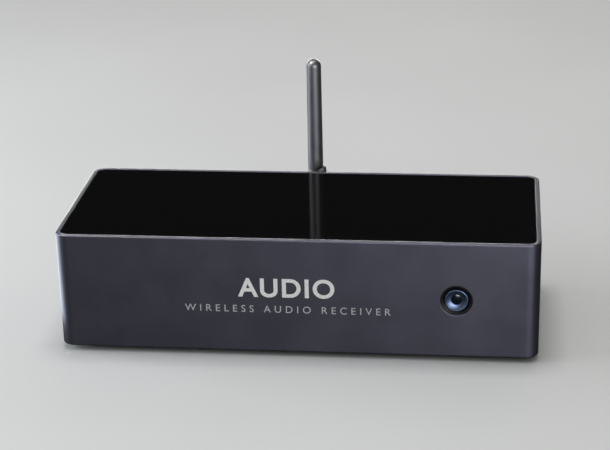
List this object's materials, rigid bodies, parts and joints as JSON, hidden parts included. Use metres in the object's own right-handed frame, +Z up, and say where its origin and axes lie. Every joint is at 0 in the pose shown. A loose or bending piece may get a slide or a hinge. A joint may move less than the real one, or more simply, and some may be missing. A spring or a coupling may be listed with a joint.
{
  "type": "wireless audio receiver",
  "caption": "Low rectangular wireless audio box: rounded metal band, inset dark glass top, round lit front button, rear audio sockets and a folding aerial.",
  "frame": {"origin": "middle of the footprint on the shelf, under the body's centre", "axes": "+X right seen from the front, +Y to the rear, +Z up; the front face looks along -Y"},
  "size_m": [0.22, 0.1157, 0.1092],
  "materials": {
    "anodised": "satin, slate grey anodised",
    "glass": "opaque black glass, polished",
    "tape": "foam tape",
    "black_steel": "fine textured black",
    "panel": "matt black anodised",
    "rubber": "matt",
    "steel": "bright zinc",
    "black_screw": "black oxide",
    "bezel": "satin black",
    "cap": "dark polished metal",
    "lens": "smoked clear",
    "white_plastic": "moulded",
    "red_plastic": "moulded",
    "orange_plastic": "moulded",
    "black_plastic": "moulded",
    "board": "solder resist",
    "gold": "gold plated",
    "silver": "tin plated",
    "can": "drawn can",
    "antenna_rubber": "satin moulded sheath",
    "chip": "moulded epoxy",
    "cable": "extruded jacket",
    "ribbon": "grey ribbon",
    "copper": "bare wire"
  },
  "bodies": {
    "housing": {"enclosure_shell": "anodised", "top_glass": "glass", "glass_tape": "tape", "bottom_plate": "black_steel", "bottom_screws": "black_screw", "foot_front_left": "rubber", "foot_front_right": "rubber", "foot_back_left": "rubber", "foot_back_right": "rubber", "rear_panel": "panel", "rear_panel_screws": "black_screw", "button_bezel": "bezel", "tact_switch": "black_plastic", "status_led": "lens", "switch_board": "board", "switch_board_screws": "steel", "ribbon_cable": "ribbon", "ribbon_headers": "white_plastic", "xlr_left_housing": "black_plastic", "xlr_right_housing": "black_plastic", "xlr_left_pins": "gold", "xlr_right_pins": "gold", "xlr_screws": "black_screw", "analog_out_block": "black_plastic", "analog_in_block": "black_plastic", "coax_block": "black_plastic", "rca_sleeves": "gold", "rca_insulators_white": "white_plastic", "rca_insulators_red": "red_plastic", "rca_insulators_orange": "orange_plastic", "rca_centre_contacts": "gold", "optical_out_housing": "black_plastic", "optical_in_housing": "black_plastic", "optical_out_emitter": "lens", "optical_in_detector": "lens", "dc_jack_housing": "black_plastic", "dc_jack_pin": "silver", "mode_switch_body": "black_plastic", "antenna_bulkhead": "gold", "antenna_washer": "gold", "antenna_nut": "gold", "antenna_coupling_nut": "antenna_rubber", "antenna_cable": "cable", "main_board": "board", "board_standoffs": "steel", "board_screws": "steel", "wireless_module": "can", "converter_chip": "chip", "control_chip": "chip", "capacitors": "can"},
    "button": {"power_button": "cap", "light_pipe": "lens", "tact_plunger": "white_plastic"},
    "aerial_knuckle": {"antenna_knuckle": "antenna_rubber", "antenna_hinge_pin": "steel"},
    "aerial_whip": {"antenna_whip": "antenna_rubber", "antenna_element": "copper"},
    "mode_slider": {"mode_switch_slider": "white_plastic"},
    "out_shutter": {"optical_out_shutter": "black_plastic"},
    "in_shutter": {"optical_in_shutter": "black_plastic"}
  },
  "joints": [
    {"name": "button_press", "type": "slide", "parent": "housing", "child": "button", "axis": [0, 1, 0], "range_m": [0, 0.0008], "stiffness_N_per_m": 1500, "springref_m": -0.0002},
    {"name": "antenna_swivel", "type": "hinge", "parent": "housing", "child": "aerial_knuckle", "pos_m": [-0.0015, 0.057, 0.0475], "axis": [0, 1, 0], "range_deg": [-90, 90]},
    {"name": "antenna_tilt", "type": "hinge", "parent": "aerial_knuckle", "child": "aerial_whip", "pos_m": [-0.0015, 0.065, 0.0475], "axis": [-1, 0, 0], "range_deg": [0, 90]},
    {"name": "mode_switch_slide", "type": "slide", "parent": "housing", "child": "mode_slider", "axis": [1, 0, 0], "range_m": [0, 0.003]},
    {"name": "optical_out_shutter_hinge", "type": "hinge", "parent": "housing", "child": "out_shutter", "pos_m": [-0.058, 0.04585, 0.0196], "axis": [-1, 0, 0], "range_deg": [0, 80], "stiffness_Nm_per_rad": 0.0005},
    {"name": "optical_in_shutter_hinge", "type": "hinge", "parent": "housing", "child": "in_shutter", "pos_m": [-0.071, 0.04585, 0.0196], "axis": [-1, 0, 0], "range_deg": [0, 80], "stiffness_Nm_per_rad": 0.0005}
  ]
}
